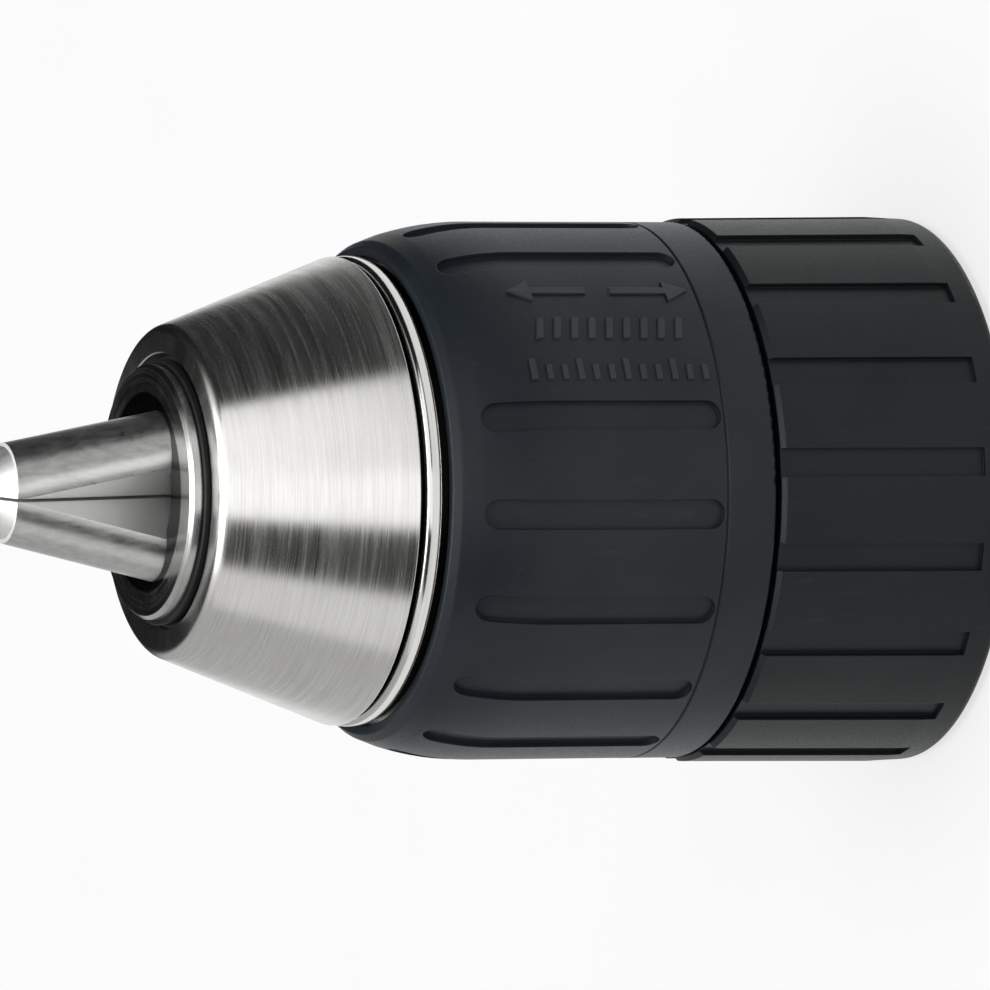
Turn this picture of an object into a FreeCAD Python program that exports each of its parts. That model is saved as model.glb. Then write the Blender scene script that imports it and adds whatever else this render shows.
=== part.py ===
import FreeCAD, Part

import math
import os

# Keyless drill chuck with two sleeves, for tool shanks up to 10 mm. All lengths are millimetres.
# The chuck axis is Z, and the jaws point along +Z. It is drawn with the jaws almost closed.
# Heights in this file count from a datum plane just in front of the body's rear face. The
# exported parts are moved so that the origin is the centre of that rear face.

os.makedirs("parts", exist_ok=True)

V = FreeCAD.Vector
ORIGIN = V(0, 0, 0)
AXIS = V(0, 0, 1)

# Driving dimensions: the whole chuck
REAR_FACE = -0.9            # the body's rear face
NOSE_FACE = 63.65           # the body's front face
SPLIT_HEIGHT = 19.2         # middle of the gap between the two sleeves
SPLIT_GAP = 0.4
RUNNING = 0.05              # radial clearance of a sliding or turning fit
PRESSED = 0.02              # radial gap left between two pressed pieces

# Driving dimensions: jaws
JAW_TILT = 15.0             # degrees between a jaw's axis and the chuck axis
JAW_RADIUS = 3.5
JAW_LENGTH = 40.0
JAW_TIP = 76.8              # height of the jaw tips
JAW_OPENING = 0.15          # how far each jaw stands off the chuck axis
JAW_AZIMUTHS = (-40.0, 80.0, 200.0)
GRIP_LAND = 0.3             # width of the flat that touches the tool
TIP_RADIUS = 2.3            # radius of the flat end of the closed jaws
RELIEF_ANGLE = 65.0         # round a jaw, from its outer side to the edge of a relief facet
RELIEF_HEIGHT = 65.0        # where a relief facet meets the 120 degree face
RELIEF_REACH = 2.2          # at this distance from the chuck axis
THREAD_START = 15.2         # first thread groove, measured from the tip along the jaw

# Driving dimensions: the conical thread between nut and jaws
PITCH = 2.5                 # along the jaw
FLANK = math.tan(math.radians(20.0))
RIDGE_DEPTH = 0.85          # how far the nut's ridge reaches into a jaw
RIDGE_CREST = 0.30          # half of the ridge's crest width
GROOVE_DEPTH = 1.13
GROOVE_FLOOR = 0.55         # half of the groove's floor width
NUT_GAP = 0.12              # between the nut's root cone and the jaws
FIRST_RIDGE = 33.0          # distance of a ridge from the jaw tips, along the cone, at azimuth 0

# Driving dimensions: body
HUB_RADIUS = 10.5
SOCKET_RADIUS = 5.665       # minor diameter of 1/2"-20 UNF, halved
SOCKET_DEPTH = 16.2
WEB_BOTTOM = 17.0
WEB_TOP = 24.0
SHANK_BORE = 5.3
FLANGE_RADIUS = 18.2
FLANGE_BOTTOM = 27.0
FLANGE_TOP = 32.9
NECK_RADIUS = 15.7          # carries the thrust bearing
NUT_BOTTOM = 37.6
NUT_TOP = 44.2
NUT_GROOVE = 9.8            # body radius behind the nut
NOSE_RADIUS = 9.9
RING_GROOVE_RADIUS = 9.3
RING_GROOVE = 61.9

# Driving dimensions: thrust bearing
BALL_RADIUS = 1.2
BALL_COUNT = 30
TRACK_RADIUS = 17.0
TRACK_HEIGHT = 35.2
RACE_OUTER = 18.6
RACE_GAP = 1.0              # from the ball centres to either race

# Driving dimensions: nut
NUT_RADIUS = 16.4
NUT_RING_RADIUS = 17.4
NUT_FLANGE_RADIUS = 19.1
NUT_FLANGE_TOP = 38.8
KEY_COUNT = 6
KEY_WIDTH = 2.6

# Driving dimensions: sleeves
REAR_SLEEVE_BOTTOM = -0.5
REAR_SLEEVE_RADIUS = 21.45
REAR_SLEEVE_FRONT = 21.3
SLEEVE_RADIUS = 21.0
SLEEVE_BAND_TOP = 23.35     # a fine groove ends the plain band at the rear of the front sleeve
SLEEVE_BORE = 19.2
SLEEVE_FRONT = 45.65
SKIRT_BORE = 18.3
SLOT_DEPTH = 0.45
FRONT_SLOTS = 17
FRONT_SLOT_WIDTH = 2.3
FRONT_SLOT_PHASE = -95.2    # azimuth of the first slot
BLANK_SLOT = 2              # the position that carries a plain pad in place of a slot
REAR_SLOTS = 18
REAR_SLOT_WIDTH = 2.2
REAR_SLOT_PHASE = -84.4

# Driving dimensions: nose cone
CONE_SLOPE = 0.379          # radius lost per millimetre of height
CONE_BASE = 47.95
CONE_BASE_RADIUS = 18.266
CONE_FRONT = 62.3
CONE_WALL = 1.2
CONE_STEP = 60.0            # inside, where the cone narrows to its mouth
CONE_MOUTH = 10.7
BEAD_RADIUS = 18.3
BEAD_BOTTOM = 46.1
BEAD_TOP = 47.45
BEAD_GROOVE = 17.3          # radius of the groove between bead and cone

TILT = math.radians(JAW_TILT)


def turned(outline):
    """Solid turned about Z. Each point is (radius, height) or (radius, height, corner radius)."""
    corners = []
    for index, point in enumerate(outline):
        here = V(point[0], 0, point[1])
        corner_radius = point[2] if len(point) > 2 else 0
        if corner_radius == 0:
            corners.append((here, here, here))
            continue
        before = outline[index - 1]
        after = outline[(index + 1) % len(outline)]
        to_before = (V(before[0], 0, before[1]) - here).normalize()
        to_after = (V(after[0], 0, after[1]) - here).normalize()
        half_angle = to_before.getAngle(to_after) / 2
        reach = corner_radius / math.tan(half_angle)
        bisector = (to_before + to_after).normalize()
        middle = here + bisector * (corner_radius / math.sin(half_angle) - corner_radius)
        corners.append((here + to_before * reach, middle, here + to_after * reach))
    edges = []
    for index, (start, middle, end) in enumerate(corners):
        if (end - start).Length > 1e-6:
            edges.append(Part.Arc(start, middle, end).toShape())
        next_start = corners[(index + 1) % len(corners)][0]
        if (next_start - end).Length > 1e-6:
            edges.append(Part.LineSegment(end, next_start).toShape())
    return Part.Face(Part.Wire(edges)).revolve(ORIGIN, AXIS, 360)


def broken_ring(inner, outer, bottom, top, edge):
    """Ring about Z with its four edges chamfered."""
    return turned([
        (inner + edge, bottom), (outer - edge, bottom), (outer, bottom + edge), (outer, top - edge),
        (outer - edge, top), (inner + edge, top), (inner, top - edge), (inner, bottom + edge)])


def prism(points, bottom, top):
    """Upright prism on a polygon of (x, y) points."""
    loop = [V(x, y, bottom) for x, y in points]
    return Part.Face(Part.makePolygon(loop + loop[:1])).extrude(V(0, 0, top - bottom))


def at_azimuth(shape, degrees):
    """Copy of a shape, turned about the chuck axis."""
    copy = shape.copy()
    copy.rotate(ORIGIN, AXIS, degrees)
    return copy


def along_jaw(shape, azimuth):
    """Move a shape from jaw space to its place. Jaw space has Z along the jaw from the tip
    to the rear, and -X facing outward."""
    copy = shape.copy()
    copy.rotate(ORIGIN, V(0, 1, 0), 180 - JAW_TILT)
    copy.translate(V(0, 0, JAW_TIP))
    return at_azimuth(copy, azimuth)


def jaw_bores(radius, start, end):
    """The three slanting cylinders that the jaws slide in."""
    bore = Part.makeCylinder(radius, end - start, V(0, 0, start))
    return [along_jaw(bore, azimuth) for azimuth in JAW_AZIMUTHS]


# Body and what is fixed to it

def chuck_body():
    socket_relief = SOCKET_RADIUS + 0.3
    body = turned([
        (SOCKET_RADIUS + 0.6, REAR_FACE), (HUB_RADIUS - 0.5, REAR_FACE), (HUB_RADIUS, REAR_FACE + 0.5),
        (HUB_RADIUS, 13.25), (HUB_RADIUS - 0.6, 13.25), (HUB_RADIUS - 0.6, 14.35), (HUB_RADIUS, 14.35),
        (HUB_RADIUS, FLANGE_BOTTOM - 2.5, 1.0), (FLANGE_RADIUS - 0.5, FLANGE_BOTTOM),
        (FLANGE_RADIUS, FLANGE_BOTTOM + 0.5), (FLANGE_RADIUS, FLANGE_TOP - 0.3),
        (FLANGE_RADIUS - 0.3, FLANGE_TOP), (NECK_RADIUS, FLANGE_TOP), (NECK_RADIUS, NUT_BOTTOM - 0.1),
        (NUT_GROOVE, NUT_BOTTOM - 0.1), (NUT_GROOVE, NUT_TOP + 0.1), (14.0, NUT_TOP + 0.1),
        (14.0, 47.4, 0.5), (NOSE_RADIUS, 56.6), (NOSE_RADIUS, RING_GROOVE),
        (RING_GROOVE_RADIUS, RING_GROOVE), (RING_GROOVE_RADIUS, RING_GROOVE + 0.8),
        (NOSE_RADIUS, RING_GROOVE + 0.8),
        (NOSE_RADIUS, NOSE_FACE - 0.3), (NOSE_RADIUS - 0.3, NOSE_FACE), (SHANK_BORE + 0.3, NOSE_FACE),
        (SHANK_BORE, NOSE_FACE - 0.3), (SHANK_BORE, WEB_TOP), (3.05, WEB_TOP), (3.05, WEB_BOTTOM),
        (socket_relief, WEB_BOTTOM), (socket_relief, SOCKET_DEPTH), (SOCKET_RADIUS, SOCKET_DEPTH),
        (SOCKET_RADIUS, REAR_FACE + 0.6)])
    return body.cut(jaw_bores(JAW_RADIUS + RUNNING, -2, 62))


def safety_screw():
    """Left-hand M6 screw with a hexagon socket. It would hold the chuck on its spindle."""
    screw = turned([
        (0, WEB_BOTTOM + 0.4), (2.6, WEB_BOTTOM + 0.4), (3.0, WEB_BOTTOM + 0.8), (3.0, WEB_TOP),
        (4.9, WEB_TOP), (4.9, WEB_TOP + 2.6, 0.6), (3.6, WEB_TOP + 3.2, 0.4), (0, WEB_TOP + 3.2)])
    hexagon = [(2.3 * math.cos(math.radians(a)), 2.3 * math.sin(math.radians(a)))
               for a in range(0, 360, 60)]
    return screw.cut(prism(hexagon, WEB_TOP + 0.8, WEB_TOP + 4))


def sleeve_insert():
    """Knurled steel ring that the rear sleeve is moulded on."""
    inner = HUB_RADIUS + PRESSED
    insert = turned([
        (inner + 0.3, 0), (11.9, 0), (12.2, 0.3), (12.2, 5.6), (11.7, 5.9), (11.7, 7.9),
        (12.2, 8.2), (12.2, 12.7), (11.9, 13.0), (inner + 0.3, 13.0), (inner, 12.7), (inner, 0.3)])
    groove = Part.makeCylinder(0.35, 15, V(12.3, 0, -1))
    knurl = [at_azimuth(groove, step * 15) for step in range(24)]
    return insert.cut(knurl)


def rear_snap_ring():
    """Open wire ring in the hub's groove, in front of the rear sleeve."""
    snap = broken_ring(HUB_RADIUS - 0.5, 11.7, 13.35, 14.25, 0.12)
    return snap.cut(Part.makeBox(4, 3, 2, V(9, -1.5, 13)))


def rear_outline(inset):
    """Outside of the rear sleeve, from its rear edge to its front rim, moved in by inset."""
    rim = SPLIT_HEIGHT - SPLIT_GAP / 2
    return [
        (REAR_SLEEVE_RADIUS - 0.15 - inset, REAR_SLEEVE_BOTTOM, 0.7),
        (REAR_SLEEVE_RADIUS - inset, 3.0, 4.0),
        (REAR_SLEEVE_FRONT - inset, rim - 0.35),
        (REAR_SLEEVE_FRONT - 0.35 - inset, rim)]


def rear_sleeve():
    bore = SLEEVE_BORE + 0.15
    rim = SPLIT_HEIGHT - SPLIT_GAP / 2
    boss = 14.0
    shell = turned([(12.2 + PRESSED, REAR_SLEEVE_BOTTOM)] + rear_outline(0) + [
        (bore + 0.3, rim), (bore, rim - 0.3), (bore, 2.4, 0.8), (boss, 2.4, 0.8), (boss, 13.0, 0.4),
        (12.2 + PRESSED, 13.0)])
    web = Part.makeBox(bore - boss + 0.6, 1.2, 7.8, V(boss - 0.3, -0.6, 2.0))
    shell = shell.fuse([at_azimuth(web, step * 60 + 30) for step in range(6)]).removeSplitter()
    return shell.cut(rear_slots(rim))


def rear_slots(rim):
    """Grip slots that run out through the front rim of the rear sleeve."""
    rear_end = 1.9
    core = turned([
        (0, -1), (REAR_SLEEVE_RADIUS - SLOT_DEPTH, -1), (REAR_SLEEVE_RADIUS - SLOT_DEPTH, 3.0),
        (REAR_SLEEVE_FRONT - SLOT_DEPTH, rim + 1), (0, rim + 1)])
    bar = Part.makeBox(4, REAR_SLOT_WIDTH, rim + 0.5 - rear_end,
                       V(REAR_SLEEVE_RADIUS - 2, -REAR_SLOT_WIDTH / 2, rear_end))
    groove = bar.cut(core)
    pitch = 360 / REAR_SLOTS
    return [at_azimuth(groove, REAR_SLOT_PHASE + step * pitch) for step in range(REAR_SLOTS)]


def nose_bush():
    """Black polymer ring on the body's nose. The nose cone turns on it, and its flange
    backs up the cone's inner step."""
    inner = NOSE_RADIUS + PRESSED
    outer = CONE_MOUTH - 0.08
    flange = CONE_STEP - 0.1
    return turned([
        (inner + 0.2, 57.6), (11.6, 57.6, 0.2), (11.6, flange, 0.2), (outer, flange),
        (outer, RING_GROOVE - 0.5), (outer - 0.2, RING_GROOVE - 0.3), (inner, RING_GROOVE - 0.3),
        (inner, 57.8)])


def nose_snap_ring():
    """Black spring ring that keeps the bush on the nose."""
    snap = broken_ring(RING_GROOVE_RADIUS + 0.1, 10.35, RING_GROOVE + 0.05, RING_GROOVE + 0.75, 0.1)
    opening = Part.makeBox(3, 2.2, 2, V(8.5, -1.1, RING_GROOVE - 0.6))
    return snap.cut(at_azimuth(opening, 100))


# Thrust bearing

def ball_track():
    return Part.makeTorus(TRACK_RADIUS, BALL_RADIUS + 0.06, V(0, 0, TRACK_HEIGHT))


def bearing_race_rear():
    race = broken_ring(NECK_RADIUS + RUNNING, RACE_OUTER, FLANGE_TOP, TRACK_HEIGHT - RACE_GAP, 0.15)
    return race.cut(ball_track())


def bearing_race_front():
    race = broken_ring(NECK_RADIUS + 0.15, RACE_OUTER, TRACK_HEIGHT + RACE_GAP, NUT_BOTTOM - 0.05, 0.15)
    return race.cut(ball_track())


def bearing_balls():
    pitch = 360 / BALL_COUNT
    ball = Part.makeSphere(BALL_RADIUS, V(TRACK_RADIUS, 0, TRACK_HEIGHT))
    return Part.makeCompound([at_azimuth(ball, step * pitch) for step in range(BALL_COUNT)])


def ball_cage():
    """Ring with a pocket for each ball. The pockets open inward, so that the balls snap in."""
    cage = broken_ring(TRACK_RADIUS - 0.7, RACE_OUTER, TRACK_HEIGHT - 0.45, TRACK_HEIGHT + 0.45, 0.1)
    pitch = 360 / BALL_COUNT
    pocket = Part.makeCylinder(BALL_RADIUS + 0.07, 2, V(TRACK_RADIUS, 0, TRACK_HEIGHT - 1))
    return cage.cut([at_azimuth(pocket, step * pitch) for step in range(BALL_COUNT)])


# Nut with its conical thread

def cone_radius(height, offset):
    """Radius, at a height, of the cone that lies offset outside the jaw axes."""
    return (JAW_TIP - height) * math.tan(TILT) + offset / math.cos(TILT)


def corner_helix(offset, shift, turns):
    """Right-hand helix on the cone that lies offset outside the jaw axes. It starts at
    azimuth 0, a distance shift behind the first ridge, and runs rearward. It is drawn
    upside down, so that its radius grows upward."""
    along = FIRST_RIDGE + shift
    radius = along * math.sin(TILT) + offset * math.cos(TILT)
    height = JAW_TIP - along * math.cos(TILT) + offset * math.sin(TILT)
    lead = PITCH * math.cos(TILT)
    helix = Part.makeHelix(lead, lead * turns, radius, JAW_TILT)
    helix.translate(V(0, 0, -height))
    return helix


def thread_ridge():
    """The nut's trapezoid ridge, from four helices joined by ruled faces."""
    turns = 4
    crest = JAW_RADIUS - RIDGE_DEPTH
    foot = JAW_RADIUS + NUT_GAP + 0.5
    foot_half = RIDGE_CREST + (foot - crest) * FLANK
    corners = [(crest, -RIDGE_CREST), (crest, RIDGE_CREST), (foot, foot_half), (foot, -foot_half)]
    helices = [corner_helix(offset, shift, turns) for offset, shift in corners]
    faces = []
    for index, helix in enumerate(helices):
        following = helices[(index + 1) % len(helices)]
        faces += Part.makeRuledSurface(helix, following).Faces
    for end in (0, -1):
        loop = [helix.OrderedVertexes[end].Point for helix in helices]
        faces.append(Part.Face(Part.makePolygon(loop + loop[:1])))
    shell = Part.makeShell(faces)
    shell.sewShape()
    ridge = Part.Solid(shell)
    if ridge.Volume < 0:
        ridge.reverse()
    ridge.rotate(ORIGIN, V(1, 0, 0), 180)
    return ridge


def split_nut():
    """The nut in two halves: it has to go into a closed groove of the body."""
    root = JAW_RADIUS + NUT_GAP
    blank = turned([
        (cone_radius(NUT_BOTTOM, root), NUT_BOTTOM), (NUT_RADIUS - 0.3, NUT_BOTTOM),
        (NUT_RADIUS, NUT_BOTTOM + 0.3), (NUT_RADIUS, NUT_TOP - 0.3), (NUT_RADIUS - 0.3, NUT_TOP),
        (cone_radius(NUT_TOP, root), NUT_TOP)])
    slab = Part.makeCylinder(NUT_RADIUS, NUT_TOP - NUT_BOTTOM, V(0, 0, NUT_BOTTOM))
    nut = blank.fuse(thread_ridge().common(slab))
    reach = NUT_RADIUS + 1
    half_space = Part.makeBox(2 * reach, reach, 10, V(-reach, 0.05, NUT_BOTTOM - 1))
    return nut.common(half_space), nut.common(at_azimuth(half_space, 180))


def nut_ring():
    """Steel ring pressed over the two nut halves. The notches in its flange take the keys."""
    inner = NUT_RADIUS + PRESSED
    band = turned([
        (inner, NUT_BOTTOM), (NUT_FLANGE_RADIUS, NUT_BOTTOM, 0.2), (NUT_FLANGE_RADIUS, NUT_FLANGE_TOP, 0.2),
        (NUT_RING_RADIUS, NUT_FLANGE_TOP, 0.2), (NUT_RING_RADIUS, NUT_TOP, 0.3), (inner, NUT_TOP)])
    width = KEY_WIDTH + 0.3
    notch = Part.makeBox(3, width, 3, V(SLEEVE_BORE - 0.5, -width / 2, NUT_BOTTOM - 1))
    pitch = 360 / KEY_COUNT
    return band.cut([at_azimuth(notch, step * pitch) for step in range(KEY_COUNT)])


# What turns with the front sleeve

def front_outline(inset):
    """Outside of the front sleeve, from its rear edge to its front edge, moved in by inset."""
    rear = SPLIT_HEIGHT + SPLIT_GAP / 2
    return [
        (SLEEVE_RADIUS - inset, rear, 0.3), (SLEEVE_RADIUS - inset, 40.2, 22.0),
        (20.05 - inset, 43.5, 5.0), (19.5 - inset, 45.0, 0.6), (18.95 - inset, SLEEVE_FRONT, 0.2)]


def front_sleeve():
    rear = SPLIT_HEIGHT + SPLIT_GAP / 2
    lip_bottom = SPLIT_HEIGHT - 1.8
    shell = turned(front_outline(0) + [
        (SKIRT_BORE, SLEEVE_FRONT), (SKIRT_BORE, NUT_FLANGE_TOP + 0.1), (SLEEVE_BORE, NUT_FLANGE_TOP + 0.1),
        (SLEEVE_BORE, SPLIT_HEIGHT + 0.8), (18.25, SPLIT_HEIGHT + 0.8), (18.25, lip_bottom),
        (SLEEVE_BORE - 0.2, lip_bottom, 0.2), (SLEEVE_BORE - 0.2, rear)])
    key = Part.makeBox(1.0, KEY_WIDTH, 4.4, V(SLEEVE_BORE - 0.45, -KEY_WIDTH / 2, NUT_FLANGE_TOP - 4.2))
    pitch = 360 / KEY_COUNT
    shell = shell.fuse([at_azimuth(key, step * pitch) for step in range(KEY_COUNT)]).removeSplitter()
    line = turned([
        (SLEEVE_RADIUS - 0.14, SLEEVE_BAND_TOP + 0.13), (SLEEVE_RADIUS + 0.01, SLEEVE_BAND_TOP - 0.02),
        (SLEEVE_RADIUS + 0.01, SLEEVE_BAND_TOP + 0.28)])
    return shell.cut(front_slots() + [line])


def front_slots():
    """Grip slots with round ends. One position is left plain."""
    rear_end = SLEEVE_BAND_TOP + 0.4
    front_end = 43.4
    half = FRONT_SLOT_WIDTH / 2
    start = SLEEVE_RADIUS - 2
    low = rear_end + half
    high = front_end - half
    edges = [
        Part.LineSegment(V(start, -half, low), V(start, -half, high)).toShape(),
        Part.Arc(V(start, -half, high), V(start, 0, front_end), V(start, half, high)).toShape(),
        Part.LineSegment(V(start, half, high), V(start, half, low)).toShape(),
        Part.Arc(V(start, half, low), V(start, 0, rear_end), V(start, -half, low)).toShape()]
    bar = Part.Face(Part.Wire(edges)).extrude(V(4, 0, 0))
    inset = SLOT_DEPTH
    core = turned([(0, 21), (SLEEVE_RADIUS - inset, 21)] + front_outline(inset)[1:] + [(0, SLEEVE_FRONT)])
    groove = bar.cut(core)
    pitch = 360 / FRONT_SLOTS
    return [at_azimuth(groove, FRONT_SLOT_PHASE + step * pitch)
            for step in range(FRONT_SLOTS) if step != BLANK_SLOT]


def guide_bush():
    """Plain bearing between the front sleeve and the body's flange."""
    return broken_ring(FLANGE_RADIUS + RUNNING, SLEEVE_BORE - PRESSED, 27.8, 32.6, 0.15)


def cone_outer(height):
    return CONE_BASE_RADIUS - (height - CONE_BASE) * CONE_SLOPE


def nose_cone():
    """Drawn steel cone. Its skirt is pressed into the front sleeve, up to the bead."""
    skirt = SKIRT_BORE - PRESSED
    skirt_inner = NUT_RING_RADIUS + PRESSED
    return turned([
        (skirt_inner, 41.0), (skirt, 41.0, 0.2), (skirt, 45.25), (17.6, 45.4), (17.6, BEAD_BOTTOM),
        (BEAD_RADIUS, BEAD_BOTTOM, 0.45), (BEAD_RADIUS, BEAD_TOP, 0.45), (BEAD_GROOVE, BEAD_TOP),
        (BEAD_GROOVE, CONE_BASE), (CONE_BASE_RADIUS, CONE_BASE, 0.08),
        (cone_outer(CONE_FRONT), CONE_FRONT, 1.0), (CONE_MOUTH, CONE_FRONT, 0.2),
        (CONE_MOUTH, CONE_STEP), (cone_outer(CONE_STEP) - CONE_WALL, CONE_STEP, 0.4),
        (16.4, CONE_BASE + 1.25, 1.0), (16.4, 46.15, 0.5), (skirt_inner, 44.95, 0.5)])


# Jaws

def jaw(azimuth):
    blank = turned([
        (0, -1.5), (JAW_RADIUS, -1.5), (JAW_RADIUS, JAW_LENGTH - 0.5), (JAW_RADIUS - 0.5, JAW_LENGTH),
        (0, JAW_LENGTH)])
    blank = blank.cut(thread_grooves(azimuth))
    placed = along_jaw(blank, azimuth)
    return placed.common(at_azimuth(jaw_wedge(), azimuth)).common(tip_envelope())


def thread_grooves(azimuth):
    """Grooves across the outer side of a jaw. The jaws' grooves are a third of a pitch apart,
    because the nut's thread is a helix."""
    lead_angle = math.degrees(math.atan(PITCH / (2 * math.pi * cone_radius(41, JAW_RADIUS))))
    floor = JAW_RADIUS - GROOVE_DEPTH
    outside = JAW_RADIUS + 0.5
    mouth = GROOVE_FLOOR + (outside - floor) * FLANK
    phase = (FIRST_RIDGE - PITCH * azimuth / 360) % PITCH
    grooves = []
    centre = phase + PITCH * math.ceil((THREAD_START - phase) / PITCH)
    while centre < JAW_LENGTH + mouth:
        loop = [V(-floor, -4, -GROOVE_FLOOR), V(-floor, -4, GROOVE_FLOOR),
                V(-outside, -4, mouth), V(-outside, -4, -mouth)]
        groove = Part.Face(Part.makePolygon(loop + loop[:1])).extrude(V(0, 8, 0))
        groove.rotate(ORIGIN, V(1, 0, 0), -lead_angle)
        groove.translate(V(0, 0, centre))
        grooves.append(groove)
        centre += PITCH
    return grooves


def face_point(along, inward, height):
    """Point at azimuth 0, placed from the 120 degree face of the jaw."""
    spread = math.radians(60)
    x = JAW_OPENING + along * math.cos(spread) + inward * math.sin(spread)
    return V(x, along * math.sin(spread) - inward * math.cos(spread), height)


def jaw_wedge():
    """The 120 degree space that one jaw may fill, at azimuth 0: a narrow grip land on the
    axis side, the two 120 degree faces, and beside them the relief facets, which are ground
    parallel to the jaw."""
    land = face_point(GRIP_LAND / 2 / math.sin(math.radians(60)), 0, 0)
    far = face_point(40, 0, 0)
    corners = [(land.x, land.y), (far.x, far.y), (far.x, -far.y), (land.x, -land.y)]
    wedge = prism(corners, 20, JAW_TIP + 1)
    turn = math.radians(RELIEF_ANGLE)
    inner_edge = face_point(RELIEF_REACH, 0, RELIEF_HEIGHT)
    outer_edge = V(JAW_RADIUS * math.cos(turn) * math.cos(TILT), JAW_RADIUS * math.sin(turn),
                   JAW_TIP + JAW_RADIUS * math.cos(turn) * math.sin(TILT))
    jaw_axis = V(-math.sin(TILT), 0, math.cos(TILT))
    outward = jaw_axis.cross(inner_edge - outer_edge)
    if outward.y < 0:
        outward = -outward
    waste = Part.makeBox(160, 160, 40, V(-80, -80, 0))
    placement = FreeCAD.Placement(inner_edge, FreeCAD.Rotation(AXIS, outward))
    waste.Placement = placement.multiply(waste.Placement)
    return wedge.cut([waste, waste.mirror(ORIGIN, V(0, 1, 0))])


def tip_envelope():
    """Flat end and chamfer of the closed jaws."""
    chamfer = JAW_RADIUS - TIP_RADIUS + 0.1
    return turned([
        (0, 20), (30, 20), (30, JAW_TIP - chamfer - 0.2), (JAW_RADIUS + 0.1, JAW_TIP - chamfer),
        (TIP_RADIUS, JAW_TIP), (0, JAW_TIP)])


def build():
    nut_half_a, nut_half_b = split_nut()
    nodes = {
        "chuck_body": chuck_body(),
        "safety_screw": safety_screw(),
        "sleeve_insert": sleeve_insert(),
        "rear_snap_ring": rear_snap_ring(),
        "rear_sleeve": rear_sleeve(),
        "nose_bush": nose_bush(),
        "nose_snap_ring": nose_snap_ring(),
        "bearing_race_rear": bearing_race_rear(),
        "bearing_race_front": bearing_race_front(),
        "bearing_balls": bearing_balls(),
        "ball_cage": ball_cage(),
        "nut_half_a": nut_half_a,
        "nut_half_b": nut_half_b,
        "nut_ring": nut_ring(),
        "front_sleeve": front_sleeve(),
        "guide_bush": guide_bush(),
        "nose_cone": nose_cone()}
    for number, azimuth in enumerate(JAW_AZIMUTHS, start=1):
        nodes["jaw_%d" % number] = jaw(azimuth)
    return nodes


for name, shape in build().items():
    shape.translate(V(0, 0, -REAR_FACE))
    shape.exportStep("parts/%s.step" % name)
    print("%-20s %2d solids  %9.2f mm3  valid %s" % (name, len(shape.Solids), shape.Volume, shape.isValid()))
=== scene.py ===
import math

import bmesh
import bpy
from mathutils import Matrix, Vector


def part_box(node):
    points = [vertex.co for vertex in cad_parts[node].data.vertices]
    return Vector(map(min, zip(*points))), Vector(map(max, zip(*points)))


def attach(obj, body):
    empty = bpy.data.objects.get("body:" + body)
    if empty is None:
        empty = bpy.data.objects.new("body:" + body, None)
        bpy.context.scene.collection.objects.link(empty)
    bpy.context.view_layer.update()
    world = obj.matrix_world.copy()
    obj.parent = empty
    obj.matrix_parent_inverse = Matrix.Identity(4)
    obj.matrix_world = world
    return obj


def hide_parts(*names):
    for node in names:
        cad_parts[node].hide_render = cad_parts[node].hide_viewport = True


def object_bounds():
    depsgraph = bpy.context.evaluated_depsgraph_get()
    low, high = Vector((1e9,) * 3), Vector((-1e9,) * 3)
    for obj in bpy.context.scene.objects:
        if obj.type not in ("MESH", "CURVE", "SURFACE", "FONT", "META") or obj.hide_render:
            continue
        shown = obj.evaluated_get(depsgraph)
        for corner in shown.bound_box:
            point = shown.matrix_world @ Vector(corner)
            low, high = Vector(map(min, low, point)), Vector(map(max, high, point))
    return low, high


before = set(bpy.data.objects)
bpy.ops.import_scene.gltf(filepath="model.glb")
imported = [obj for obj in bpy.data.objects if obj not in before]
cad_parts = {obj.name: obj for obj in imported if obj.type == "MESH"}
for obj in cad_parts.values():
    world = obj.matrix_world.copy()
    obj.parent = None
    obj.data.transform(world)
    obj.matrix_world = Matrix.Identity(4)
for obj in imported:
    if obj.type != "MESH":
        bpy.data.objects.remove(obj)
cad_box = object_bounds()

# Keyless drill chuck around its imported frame. The chuck stands on its rear face, nose up.
# Blender's unit is the metre; material patterns work in millimetres.

MM = 0.001

# Camera: level with the chuck's side, raised a little towards the nose, and rolled a quarter
# turn, so that the nose points left in the picture
CAMERA_RISE = math.radians(22.5)
CAMERA_ROLL = math.radians(0.25)
CAMERA_DISTANCE = 1200 * MM
VIEW_WIDTH = 77.3 * MM
AIM = Vector((-0.35, 0, 35.2)) * MM
SENSOR = 36.0

# Places on the chuck that the materials need, in millimetres
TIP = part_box("jaw_1")[1].z / MM
MOUTH_RADIUS = 7.8          # painted shade darkens the body's nose inside this radius
MOUTH_BOTTOM = 56.0         # the painted shade fades in from here
MOUTH_TOP = 63.0            # to here

# Mark on the front sleeve, in millimetres. Its places count along the chuck, towards the rear,
# and across, round the sleeve, from the middle of the mark.
SLEEVE_RADIUS = 21.0
MARK_AZIMUTH = math.radians(-53.8)
MARK_HEIGHT = 32.6
MARK_RELIEF = 0.18          # how far its shapes stand out of the sleeve
MARK_ROOT = 0.03            # how far they reach into it
MARK_DRAFT = 0.09           # how much their sides slope in
ARROW_GAP = 1.0             # from the middle of the mark to an arrow's tail
ARROW_LENGTH = 6.6
ARROW_ACROSS = 3.9
ARROW_HEAD = 1.9            # length of the head
ARROW_HALF_HEAD = 1.15
ARROW_HALF_SHAFT = 0.35

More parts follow.
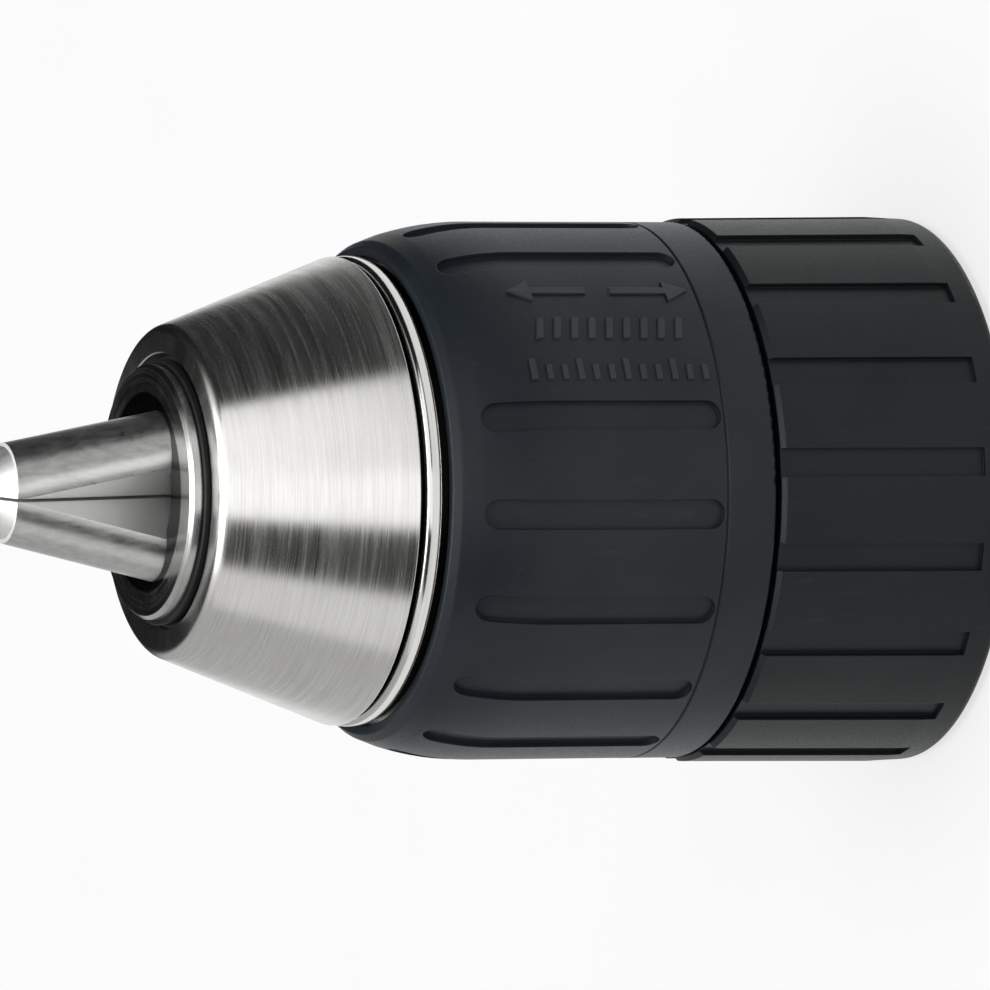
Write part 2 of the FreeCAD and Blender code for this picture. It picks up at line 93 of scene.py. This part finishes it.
# Nose cone: radius, height and corner radius of each corner, from the skirt's rear end round
# the outside to the mouth, and back along the inside
CONE_OUTLINE = [
    (17.42, 41.9, 0), (18.28, 41.9, 0.2), (18.28, 46.15, 0), (17.6, 46.3, 0), (17.6, 47.0, 0),
    (18.3, 47.0, 0.45), (18.3, 48.35, 0.45), (17.3, 48.35, 0), (17.3, 48.85, 0), (18.266, 48.85, 0.08),
    (12.827, 63.2, 1.0), (10.7, 63.2, 0.2), (10.7, 60.9, 0), (12.5, 60.9, 0.4), (16.4, 50.1, 1.0),
    (16.4, 47.05, 0.5), (17.42, 45.85, 0.5)]
BEAD = (47.0, 48.35)        # heights of the bead's lower and upper edge
GROOVED = (46.2, 48.88)     # heights between which the bead and the grooves beside it lie
GROOVE_SHADE_RADIUS = 17.85        # painted shade darkens the grooves inside this radius
CORNER_STEPS = 8
TURN_STEPS = 288

# Studio. A wall of light is (from, to, soft edge), in degrees round the chuck from the camera's
# side. The floor is a disc that fades out, in metres.
KEY_WALL = (-15, 55, 7)
KEY_LEVEL = 1.32
LOW_GAP = (12, 75, 4)       # near the horizon the key wall is dark here
LOW_GAP_DEPTH = 1.25
SIDE_WALL = (-160, -56, 9)
SIDE_LEVEL = 0.48
NEAR_SIDE_WALL = (-80, -56, 7)
NEAR_SIDE_LEVEL = 0.32
FILL_LEVEL = 0.01
CEILING_LEVEL = 0.9
OVERHEAD_LEVEL = 5.0
FLOOR_HALF = 3.0
FLOOR_SOLID = 0.20
FLOOR_END = 0.30


# Shader helpers

class Nodes:
    """Short ways to add shader nodes to a tree."""

    def __init__(self, tree):
        self.tree = tree
        tree.nodes.clear()

    def add(self, kind, inputs=None, **attributes):
        """New node. An input's value is a socket to link, or a plain value."""
        node = self.tree.nodes.new("ShaderNode" + kind)
        for key, value in attributes.items():
            setattr(node, key, value)
        for key, value in (inputs or {}).items():
            self.feed(node.inputs[key], value)
        return node

    def feed(self, socket, value):
        if isinstance(value, bpy.types.NodeSocket):
            self.tree.links.new(value, socket)
        else:
            socket.default_value = value

    def math(self, operation, a, b=0.0):
        return self.add("Math", {0: a, 1: b}, operation=operation).outputs[0]

    def remap(self, value, low, high, new_low=0.0, new_high=1.0):
        node = self.add("MapRange", {"Value": value, "From Min": low, "From Max": high,
                                     "To Min": new_low, "To Max": new_high})
        node.interpolation_type = "SMOOTHSTEP"
        return node.outputs["Result"]

    def band(self, value, low, high, soft):
        """1 between low and high, falling to 0 over soft on either side."""
        rise = self.remap(value, low - soft, low)
        fall = self.remap(value, high, high + soft, 1.0, 0.0)
        return self.math("MULTIPLY", rise, fall)

    def mix(self, factor, a, b):
        """Colour a where factor is 0, and b where it is 1."""
        node = self.add("Mix", data_type="RGBA")
        self.feed(node.inputs[0], factor)
        self.feed(node.inputs[6], a)
        self.feed(node.inputs[7], b)
        return node.outputs[2]

    def point(self):
        """Place on the object, in millimetres."""
        place = self.add("TexCoord").outputs["Object"]
        return self.add("VectorMath", {0: place, "Scale": 1 / MM}, operation="SCALE").outputs[0]

    def around_axis(self, point):
        """Angle, radius and height of a point about the chuck axis, in radians and millimetres."""
        x, y, z = self.add("SeparateXYZ", {0: point}).outputs
        angle = self.math("ARCTAN2", y, x)
        square = self.math("ADD", self.math("MULTIPLY", x, x), self.math("MULTIPLY", y, y))
        return angle, self.math("SQRT", square), z

    def outward(self, point):
        """Direction from the chuck axis to a point, level with the point."""
        flat = self.add("VectorMath", {0: point, 1: (1.0, 1.0, 0.0)}, operation="MULTIPLY").outputs[0]
        return self.add("VectorMath", {0: flat}, operation="NORMALIZE").outputs[0]

    def alignment(self, a, b):
        """Cosine of the angle between two directions."""
        return self.add("VectorMath", {0: a, 1: b}, operation="DOT_PRODUCT").outputs["Value"]

    def vector(self, x, y, z):
        return self.add("CombineXYZ", {0: x, 1: y, 2: z}).outputs[0]

    def noise(self, vector, scale, detail=2.0, roughness=0.5):
        node = self.add("TexNoise", {"Vector": vector, "Scale": scale, "Detail": detail,
                                     "Roughness": roughness})
        return node.outputs["Fac"]

    def bump(self, height, strength, distance, normal=None):
        """Bump of height, with its full depth given in millimetres."""
        inputs = {"Height": height, "Strength": strength, "Distance": distance * MM}
        if normal is not None:
            inputs["Normal"] = normal
        return self.add("Bump", inputs).outputs[0]


class Shader(Nodes):
    """A new material, with a Principled BSDF on its output."""

    def __init__(self, name):
        self.material = bpy.data.materials.new(name)
        self.material.use_nodes = True
        super().__init__(self.material.node_tree)
        output = self.add("OutputMaterial")
        self.surface = self.add("BsdfPrincipled")
        self.tree.links.new(self.surface.outputs["BSDF"], output.inputs["Surface"])

    def brush_around_axis(self, amount):
        """Anisotropy of a surface brushed or turned round the axis: reflections smear across
        the lines, and stay crisp along them."""
        self.feed(self.surface.inputs["Tangent"],
                  self.add("Tangent", direction_type="RADIAL", axis="Z").outputs[0])
        self.surface.inputs["Anisotropic"].default_value = amount
        self.surface.inputs["Anisotropic Rotation"].default_value = 0.25

    def finish(self, colour, roughness, normal, metallic=0.0, **fixed):
        self.feed(self.surface.inputs["Base Color"], colour)
        self.feed(self.surface.inputs["Roughness"], roughness)
        self.feed(self.surface.inputs["Normal"], normal)
        self.surface.inputs["Metallic"].default_value = metallic
        for key, value in fixed.items():
            self.surface.inputs[key.replace("_", " ")].default_value = value
        return self.material


def rgb(red, green, blue):
    return (red, green, blue, 1.0)


# Materials

def moulded_plastic(name, colour, other_colour):
    """Black moulded plastic: fine spark-eroded grain, faint flow marks and handling scuffs."""
    s = Shader(name)
    point = s.point()
    edges = s.add("Bevel", {"Radius": 0.12 * MM}, samples=4).outputs[0]
    fine = s.noise(point, 5.5, 3.0, 0.6)
    broad = s.noise(point, 0.12, 3.0, 0.55)
    stretched = s.add("Mapping", {0: point, 3: (1.0, 1.0, 0.15)}).outputs[0]
    scuffs = s.remap(s.noise(stretched, 1.4, 4.0, 0.7), 0.60, 0.78)
    tint = s.mix(s.remap(broad, 0.3, 0.7), colour, other_colour)
    tint = s.mix(s.math("MULTIPLY", scuffs, 0.12), tint, rgb(0.08, 0.085, 0.09))
    rough = s.math("ADD", s.remap(fine, 0.3, 0.7, 0.36, 0.48), s.math("MULTIPLY", scuffs, 0.08))
    normal = s.bump(fine, 0.35, 0.035, edges)
    return s.finish(tint, rough, normal, Specular_IOR_Level=0.24)


def brushed_cone():
    """Steel brushed round the axis, with a polished bead at its base and painted shade in the grooves beside
    the bead.
    """
    s = Shader("brushed_cone_steel")
    point = s.point()
    angle, radius, height = s.around_axis(point)
    fine_lines = s.vector(s.math("MULTIPLY", angle, 1.6), 0.0, s.math("MULTIPLY", height, 7.0))
    broad_lines = s.vector(s.math("MULTIPLY", angle, 0.8), 0.0, s.math("MULTIPLY", height, 1.6))
    lines = s.noise(fine_lines, 1.0, 4.0, 0.75)
    broad = s.noise(broad_lines, 1.0, 2.0)
    stains = s.noise(point, 0.35, 3.0)
    colour = s.mix(s.remap(lines, 0.3, 0.7), rgb(0.62, 0.61, 0.59), rgb(0.76, 0.755, 0.74))
    colour = s.mix(s.remap(stains, 0.45, 0.8, 0.0, 0.3), colour, rgb(0.60, 0.585, 0.55))
    # Painted shade: the grooves beside the bead are coloured near black, and made rougher.
    deep = s.remap(radius, GROOVE_SHADE_RADIUS - 0.1, GROOVE_SHADE_RADIUS + 0.1, 1.0, 0.0)
    groove_shade = s.math("MULTIPLY", s.band(height, *GROOVED, 0.04), deep)
    colour = s.mix(groove_shade, colour, rgb(0.012, 0.011, 0.010))
    rough = s.math("ADD", s.remap(lines, 0.25, 0.75, 0.20, 0.29), s.remap(broad, 0.3, 0.7, -0.03, 0.03))
    polished = s.band(height, *BEAD, 0.05)
    rough = s.math("SUBTRACT", rough, s.math("MULTIPLY", polished, 0.08))
    rough = s.math("ADD", rough, s.math("MULTIPLY", groove_shade, 0.3))
    s.brush_around_axis(0.75)
    return s.finish(colour, rough, s.bump(lines, 0.30, 0.010), 1.0)


def turned_steel(name, dark, light, rough_low, rough_high, ring_scale=7.0, depth=0.01):
    """Steel with turning rings about the axis."""
    s = Shader(name)
    point = s.point()
    angle, radius, height = s.around_axis(point)
    rings = s.noise(s.vector(s.math("MULTIPLY", angle, 0.6), s.math("MULTIPLY", radius, ring_scale),
                             s.math("MULTIPLY", height, ring_scale)), 1.0, 3.0, 0.7)
    patches = s.noise(point, 0.5, 4.0, 0.6)
    colour = s.mix(s.remap(rings, 0.3, 0.7), dark, light)
    colour = s.mix(s.remap(patches, 0.5, 0.8, 0.0, 0.4), colour, dark)
    ring_rough = s.remap(rings, 0.3, 0.7, rough_low, rough_high)
    rough = s.math("ADD", ring_rough, s.remap(patches, 0.3, 0.7, -0.04, 0.04))
    return s.finish(colour, rough, s.bump(rings, 0.3, depth), 1.0)


def faced_steel():
    """Bright body steel with fine turning rings. Painted shade makes it dark round the mouth of the jaws'
    bores.
    """
    s = Shader("faced_body_steel")
    point = s.point()
    angle, radius, height = s.around_axis(point)
    rings = s.noise(s.vector(s.math("MULTIPLY", angle, 0.8), s.math("MULTIPLY", radius, 6.0),
                             s.math("MULTIPLY", height, 6.0)), 1.0, 3.0, 0.7)
    patches = s.noise(point, 0.5, 4.0, 0.6)
    colour = s.mix(s.remap(rings, 0.3, 0.7), rgb(0.50, 0.495, 0.485), rgb(0.64, 0.635, 0.625))
    colour = s.mix(s.remap(patches, 0.5, 0.8, 0.0, 0.5), colour, rgb(0.36, 0.355, 0.345))
    # Painted shade: near black round the mouth of the jaws' bores, fading in towards the nose.
    inside = s.remap(radius, MOUTH_RADIUS - 0.2, MOUTH_RADIUS + 0.2, 1.0, 0.0)
    mouth = s.math("MULTIPLY", s.remap(height, MOUTH_BOTTOM, MOUTH_TOP), inside)
    colour = s.mix(mouth, colour, rgb(0.035, 0.035, 0.035))
    rough = s.math("ADD", s.remap(rings, 0.3, 0.7, 0.14, 0.24), s.remap(patches, 0.3, 0.7, -0.02, 0.04))
    s.brush_around_axis(0.4)
    return s.finish(colour, rough, s.bump(rings, 0.3, 0.008), 1.0)


def ground_steel():
    """Hardened jaw steel, ground along the jaw. The facets between the jaws are duller, with a painted
    highlight that makes them paler, and the flat end has painted shade."""
    s = Shader("ground_jaw_steel")
    point = s.point()
    angle, radius, height = s.around_axis(point)
    scratches = s.noise(s.vector(s.math("MULTIPLY", angle, 12.0), s.math("MULTIPLY", radius, 4.0),
                                 s.math("MULTIPLY", height, 0.45)), 1.0, 3.0, 0.65)
    patches = s.noise(point, 0.5, 3.0, 0.6)
    colour = s.mix(s.remap(scratches, 0.3, 0.7), rgb(0.52, 0.52, 0.51), rgb(0.62, 0.62, 0.61))
    colour = s.mix(s.remap(patches, 0.45, 0.8, 0.0, 0.35), colour, rgb(0.44, 0.435, 0.43))
    facing = s.alignment(s.outward(point), s.add("TexCoord").outputs["Normal"])
    # Painted highlight: faces turned away from the outward direction, the facets between the jaws, are
    # coloured paler. They are also made rougher.
    facet_highlight = s.remap(facing, 0.66, 0.78, 1.0, 0.0)
    colour = s.mix(facet_highlight, colour, rgb(0.80, 0.80, 0.79))
    # Painted shade: the flat end at the jaw tip is coloured near black.
    colour = s.mix(s.remap(height, TIP - 0.10, TIP - 0.03), colour, rgb(0.07, 0.07, 0.07))
    rough = s.math("ADD", s.remap(scratches, 0.3, 0.7, 0.28, 0.34), s.remap(patches, 0.3, 0.7, -0.02, 0.03))
    rough = s.math("ADD", rough, s.math("MULTIPLY", facet_highlight, 0.25))
    return s.finish(colour, rough, s.bump(scratches, 0.08, 0.005), 1.0)


def polymer(name, dark, light):
    """Machined or moulded bearing polymer."""
    s = Shader(name)
    point = s.point()
    grain = s.noise(point, 5.0, 3.0, 0.6)
    colour = s.mix(s.remap(grain, 0.3, 0.7), dark, light)
    return s.finish(colour, s.remap(grain, 0.3, 0.7, 0.42, 0.58), s.bump(grain, 0.3, 0.02))


def floor_paper():
    """Pale paper, lit a little from within so that it stays plain, which fades out to its edge."""
    s = Shader("floor_paper")
    place = s.add("TexCoord").outputs["Object"]
    fibre = s.noise(place, 40.0, 4.0, 0.6)
    colour = s.mix(fibre, rgb(0.15, 0.15, 0.15), rgb(0.17, 0.17, 0.17))
    s.surface.inputs["Emission Color"].default_value = rgb(1.0, 1.0, 1.0)
    s.surface.inputs["Emission Strength"].default_value = 0.72
    reach = s.add("VectorMath", {0: place}, operation="LENGTH").outputs["Value"]
    s.feed(s.surface.inputs["Alpha"], s.remap(reach, FLOOR_SOLID, FLOOR_END, 1.0, 0.0))
    return s.finish(colour, 0.9, s.bump(fibre, 0.05, 0.05), Specular_IOR_Level=0.1)


def smooth(data):
    """Smooth shading, except across real edges."""
    for face in data.polygons:
        face.use_smooth = True
    data.set_sharp_from_angle(angle=math.radians(24))


def dress(material, *nodes):
    """Give CAD nodes their material and smooth shading."""
    for name in nodes:
        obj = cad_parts[name]
        obj.data.materials.clear()
        obj.data.materials.append(material)
        smooth(obj.data)


def dress_outside():
    dress(moulded_plastic("front_sleeve_plastic", rgb(0.008, 0.011, 0.015), rgb(0.012, 0.016, 0.020)),
          "front_sleeve")
    dress(moulded_plastic("rear_sleeve_plastic", rgb(0.003, 0.005, 0.006), rgb(0.005, 0.008, 0.009)),
          "rear_sleeve")
    dress(ground_steel(), "jaw_1", "jaw_2", "jaw_3")
    dress(faced_steel(), "chuck_body")
    dress(polymer("black_bush_polymer", rgb(0.010, 0.010, 0.010), rgb(0.018, 0.018, 0.018)), "nose_bush")
    dress(turned_steel("phosphated_steel", rgb(0.020, 0.020, 0.021), rgb(0.042, 0.042, 0.043), 0.45, 0.60),
          "nose_snap_ring")


def dress_inside():
    dress(turned_steel("spring_steel", rgb(0.62, 0.62, 0.61), rgb(0.78, 0.78, 0.77), 0.18, 0.28),
          "rear_snap_ring")
    dress(turned_steel("turned_insert_steel", rgb(0.40, 0.40, 0.40), rgb(0.54, 0.54, 0.53), 0.26, 0.38),
          "sleeve_insert", "nut_ring")
    dress(turned_steel("hardened_nut_steel", rgb(0.20, 0.20, 0.21), rgb(0.34, 0.34, 0.35), 0.30, 0.42),
          "nut_half_a", "nut_half_b")
    dress(turned_steel("ground_race_steel", rgb(0.48, 0.48, 0.49), rgb(0.62, 0.62, 0.63), 0.14, 0.24),
          "bearing_race_front", "bearing_race_rear")
    dress(turned_steel("polished_ball_steel", rgb(0.72, 0.72, 0.73), rgb(0.82, 0.82, 0.83), 0.05, 0.10,
                       ring_scale=1.5, depth=0.002),
          "bearing_balls")
    dress(turned_steel("stamped_brass", rgb(0.56, 0.40, 0.17), rgb(0.70, 0.53, 0.26), 0.24, 0.36),
          "ball_cage")
    dress(turned_steel("zinc_plated_steel", rgb(0.36, 0.37, 0.36), rgb(0.50, 0.50, 0.47), 0.28, 0.42),
          "safety_screw")
    dress(polymer("white_guide_polymer", rgb(0.62, 0.60, 0.54), rgb(0.74, 0.72, 0.66)), "guide_bush")


# Pieces made here

def add_piece(name, data, material, body):
    data.materials.append(material)
    piece = bpy.data.objects.new(name, data)
    bpy.context.scene.collection.objects.link(piece)
    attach(piece, body)
    return piece


def rounded(outline):
    """Closed outline of (radius, height, corner radius) as points, with its corners rounded."""
    points = []
    for index, (radius, height, corner) in enumerate(outline):
        here = Vector((radius, height))
        if corner == 0:
            points.append(here)
            continue
        following = outline[(index + 1) % len(outline)]
        back = (Vector(outline[index - 1][:2]) - here).normalized()
        ahead = (Vector(following[:2]) - here).normalized()
        half = back.angle(ahead) / 2
        centre = here + (back + ahead).normalized() * corner / math.sin(half)
        start = (here + back * corner / math.tan(half) - centre).normalized()
        end = (here + ahead * corner / math.tan(half) - centre).normalized()
        points += [centre + start.slerp(end, step / CORNER_STEPS) * corner
                   for step in range(CORNER_STEPS + 1)]
    return points


def add_nose_cone():
    """The nose cone, turned finely enough for its bead and corners to shade cleanly."""
    profile = rounded(CONE_OUTLINE)
    mesh = bmesh.new()
    rings = []
    for step in range(TURN_STEPS):
        turn = Matrix.Rotation(2 * math.pi * step / TURN_STEPS, 3, "Z")
        rings.append([mesh.verts.new(turn @ Vector((radius, 0, height)) * MM) for radius, height in profile])
    for step, ring in enumerate(rings):
        neighbour = rings[(step + 1) % TURN_STEPS]
        for index in range(len(profile)):
            after = (index + 1) % len(profile)
            mesh.faces.new((ring[index], neighbour[index], neighbour[after], ring[after]))
    bmesh.ops.recalc_face_normals(mesh, faces=mesh.faces)
    data = bpy.data.meshes.new("turned_nose_cone")
    mesh.to_mesh(data)
    mesh.free()
    smooth(data)
    piece = add_piece("turned_nose_cone", data, brushed_cone(), "sleeve")
    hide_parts("nose_cone")


def arrow(sign):
    """Arrow along the chuck, away from the middle of the mark, as points of (along, across)."""
    tail = sign * ARROW_GAP
    tip = sign * (ARROW_GAP + ARROW_LENGTH)
    neck = tip - sign * ARROW_HEAD
    half = [(tail, ARROW_HALF_SHAFT), (neck, ARROW_HALF_SHAFT), (neck, ARROW_HALF_HEAD)]
    below = [(along, ARROW_ACROSS - reach) for along, reach in half]
    above = [(along, ARROW_ACROSS + reach) for along, reach in reversed(half)]
    return below + [(tip, ARROW_ACROSS)] + above


def bar(start, width, low, high, slant=0.0):
    """Bar across the mark, from low to high, as points of (along, across)."""
    return [(start, low), (start + width, low), (start + width + slant, high), (start + slant, high)]


def mark_outlines():
    """Two arrows, a row of slanting bars, and a row of upright bars of which every third is taller."""
    slanting = [bar(-6.4 + step * 1.45, 0.62, -1.0, 1.1, 0.5) for step in range(9)]
    heights = [1.9 if step % 3 == 0 else 1.4 for step in range(12)]
    upright = [bar(-7.4 + step * 1.3, 0.5, -4.6, -4.6 + height) for step, height in enumerate(heights)]
    return [arrow(-1), arrow(1)] + slanting + upright


def on_sleeve(along, across, height):
    """Place on the front sleeve's surface, height above it. The mark's rows run along the
    chuck, and across goes round it."""
    radius = SLEEVE_RADIUS + height
    angle = MARK_AZIMUTH + across / SLEEVE_RADIUS
    return Vector((radius * math.cos(angle), radius * math.sin(angle), MARK_HEIGHT - along)) * MM


def add_mark():
    """Low raised shapes with sloping sides, in plastic a little lighter than the sleeve's."""
    mesh = bmesh.new()
    for outline in mark_outlines():
        centre = [sum(values) / len(outline) for values in zip(*outline)]
        feet = [mesh.verts.new(on_sleeve(along, across, -MARK_ROOT)) for along, across in outline]
        tops = []
        for along, across in outline:
            reach = math.hypot(along - centre[0], across - centre[1])
            keep = 1 - MARK_DRAFT / reach
            tops.append(mesh.verts.new(on_sleeve(centre[0] + (along - centre[0]) * keep,
                                                 centre[1] + (across - centre[1]) * keep, MARK_RELIEF)))
        mesh.faces.new(tops)
        mesh.faces.new(reversed(feet))
        for index in range(len(outline)):
            following = (index + 1) % len(outline)
            mesh.faces.new((feet[index], feet[following], tops[following], tops[index]))
    bmesh.ops.recalc_face_normals(mesh, faces=mesh.faces)
    data = bpy.data.meshes.new("sleeve_mark")
    mesh.to_mesh(data)
    mesh.free()
    lighter_mark = moulded_plastic("lighter_mark_plastic", rgb(0.022, 0.026, 0.030), rgb(0.030, 0.034, 0.038))
    add_piece("sleeve_mark", data, lighter_mark, "sleeve")


# Stage

def add_floor():
    mesh = bpy.data.meshes.new("floor")
    corners = [(-1, -1), (1, -1), (1, 1), (-1, 1)]
    mesh.from_pydata([(x * FLOOR_HALF, y * FLOOR_HALF, cad_box[0].z) for x, y in corners], [], [(0, 1, 2, 3)])
    floor = bpy.data.objects.new("floor", mesh)
    floor.data.materials.append(floor_paper())
    bpy.context.scene.collection.objects.link(floor)


def add_studio():
    """Soft studio: light walls, a ceiling and dark gaps round the chuck, which its steel mirrors.
    The camera itself sees plain white."""
    world = bpy.data.worlds.new("studio")
    bpy.context.scene.world = world
    world.use_nodes = True
    s = Nodes(world.node_tree)
    direction = s.add("TexCoord").outputs["Generated"]
    x, y, z = s.add("SeparateXYZ", {0: direction}).outputs
    bearing = s.math("MULTIPLY", s.math("ARCTAN2", x, s.math("MULTIPLY", y, -1.0)), 180 / math.pi)
    low_gap = s.math("MULTIPLY", s.band(bearing, *LOW_GAP), s.remap(z, 0.08, 0.16, 1.0, 0.0))
    key_level = s.math("SUBTRACT", KEY_LEVEL, s.math("MULTIPLY", low_gap, LOW_GAP_DEPTH))
    key = s.math("MULTIPLY", s.band(bearing, *KEY_WALL), key_level)
    side = s.math("MULTIPLY", s.band(bearing, *SIDE_WALL), SIDE_LEVEL)
    near_side = s.math("MULTIPLY", s.band(bearing, *NEAR_SIDE_WALL), NEAR_SIDE_LEVEL)
    walls = s.math("ADD", s.math("ADD", key, s.math("ADD", side, near_side)), FILL_LEVEL)
    ceiling = s.remap(z, 0.70, 0.85)
    overhead = s.remap(z, 0.885, 0.925)
    lamp = s.math("MULTIPLY", overhead, OVERHEAD_LEVEL)
    above = s.math("ADD", s.math("MULTIPLY", ceiling, CEILING_LEVEL), lamp)
    level = s.math("ADD", s.math("MULTIPLY", walls, s.math("SUBTRACT", 1.0, ceiling)), above)
    seen = s.add("LightPath").outputs["Is Camera Ray"]
    strength = s.math("ADD", s.math("MULTIPLY", level, s.math("SUBTRACT", 1.0, seen)), seen)
    background = s.add("Background", {"Color": rgb(1.0, 1.0, 1.0), "Strength": strength})
    output = s.add("OutputWorld")
    s.tree.links.new(background.outputs[0], output.inputs["Surface"])


def add_camera():
    """Long lens, with the picture's up along the scene's X axis."""
    camera = bpy.data.cameras.new("camera")
    camera.sensor_width = SENSOR
    camera.lens = SENSOR * CAMERA_DISTANCE / VIEW_WIDTH
    camera.clip_start = 0.01
    camera.clip_end = 20
    back = Vector((0, -math.cos(CAMERA_RISE), math.sin(CAMERA_RISE)))
    level = Vector((1, 0, 0))
    up = level * math.cos(CAMERA_ROLL) + level.cross(back) * math.sin(CAMERA_ROLL)
    right = up.cross(back)
    place = Matrix((right, up, back)).transposed().to_4x4()
    place.translation = AIM + back * CAMERA_DISTANCE
    obj = bpy.data.objects.new("camera", camera)
    obj.matrix_world = place
    bpy.context.scene.collection.objects.link(obj)
    bpy.context.scene.camera = obj


bpy.context.scene.view_settings.view_transform = "Standard"
dress_outside()
dress_inside()
add_nose_cone()
add_mark()
add_floor()
add_studio()
add_camera()
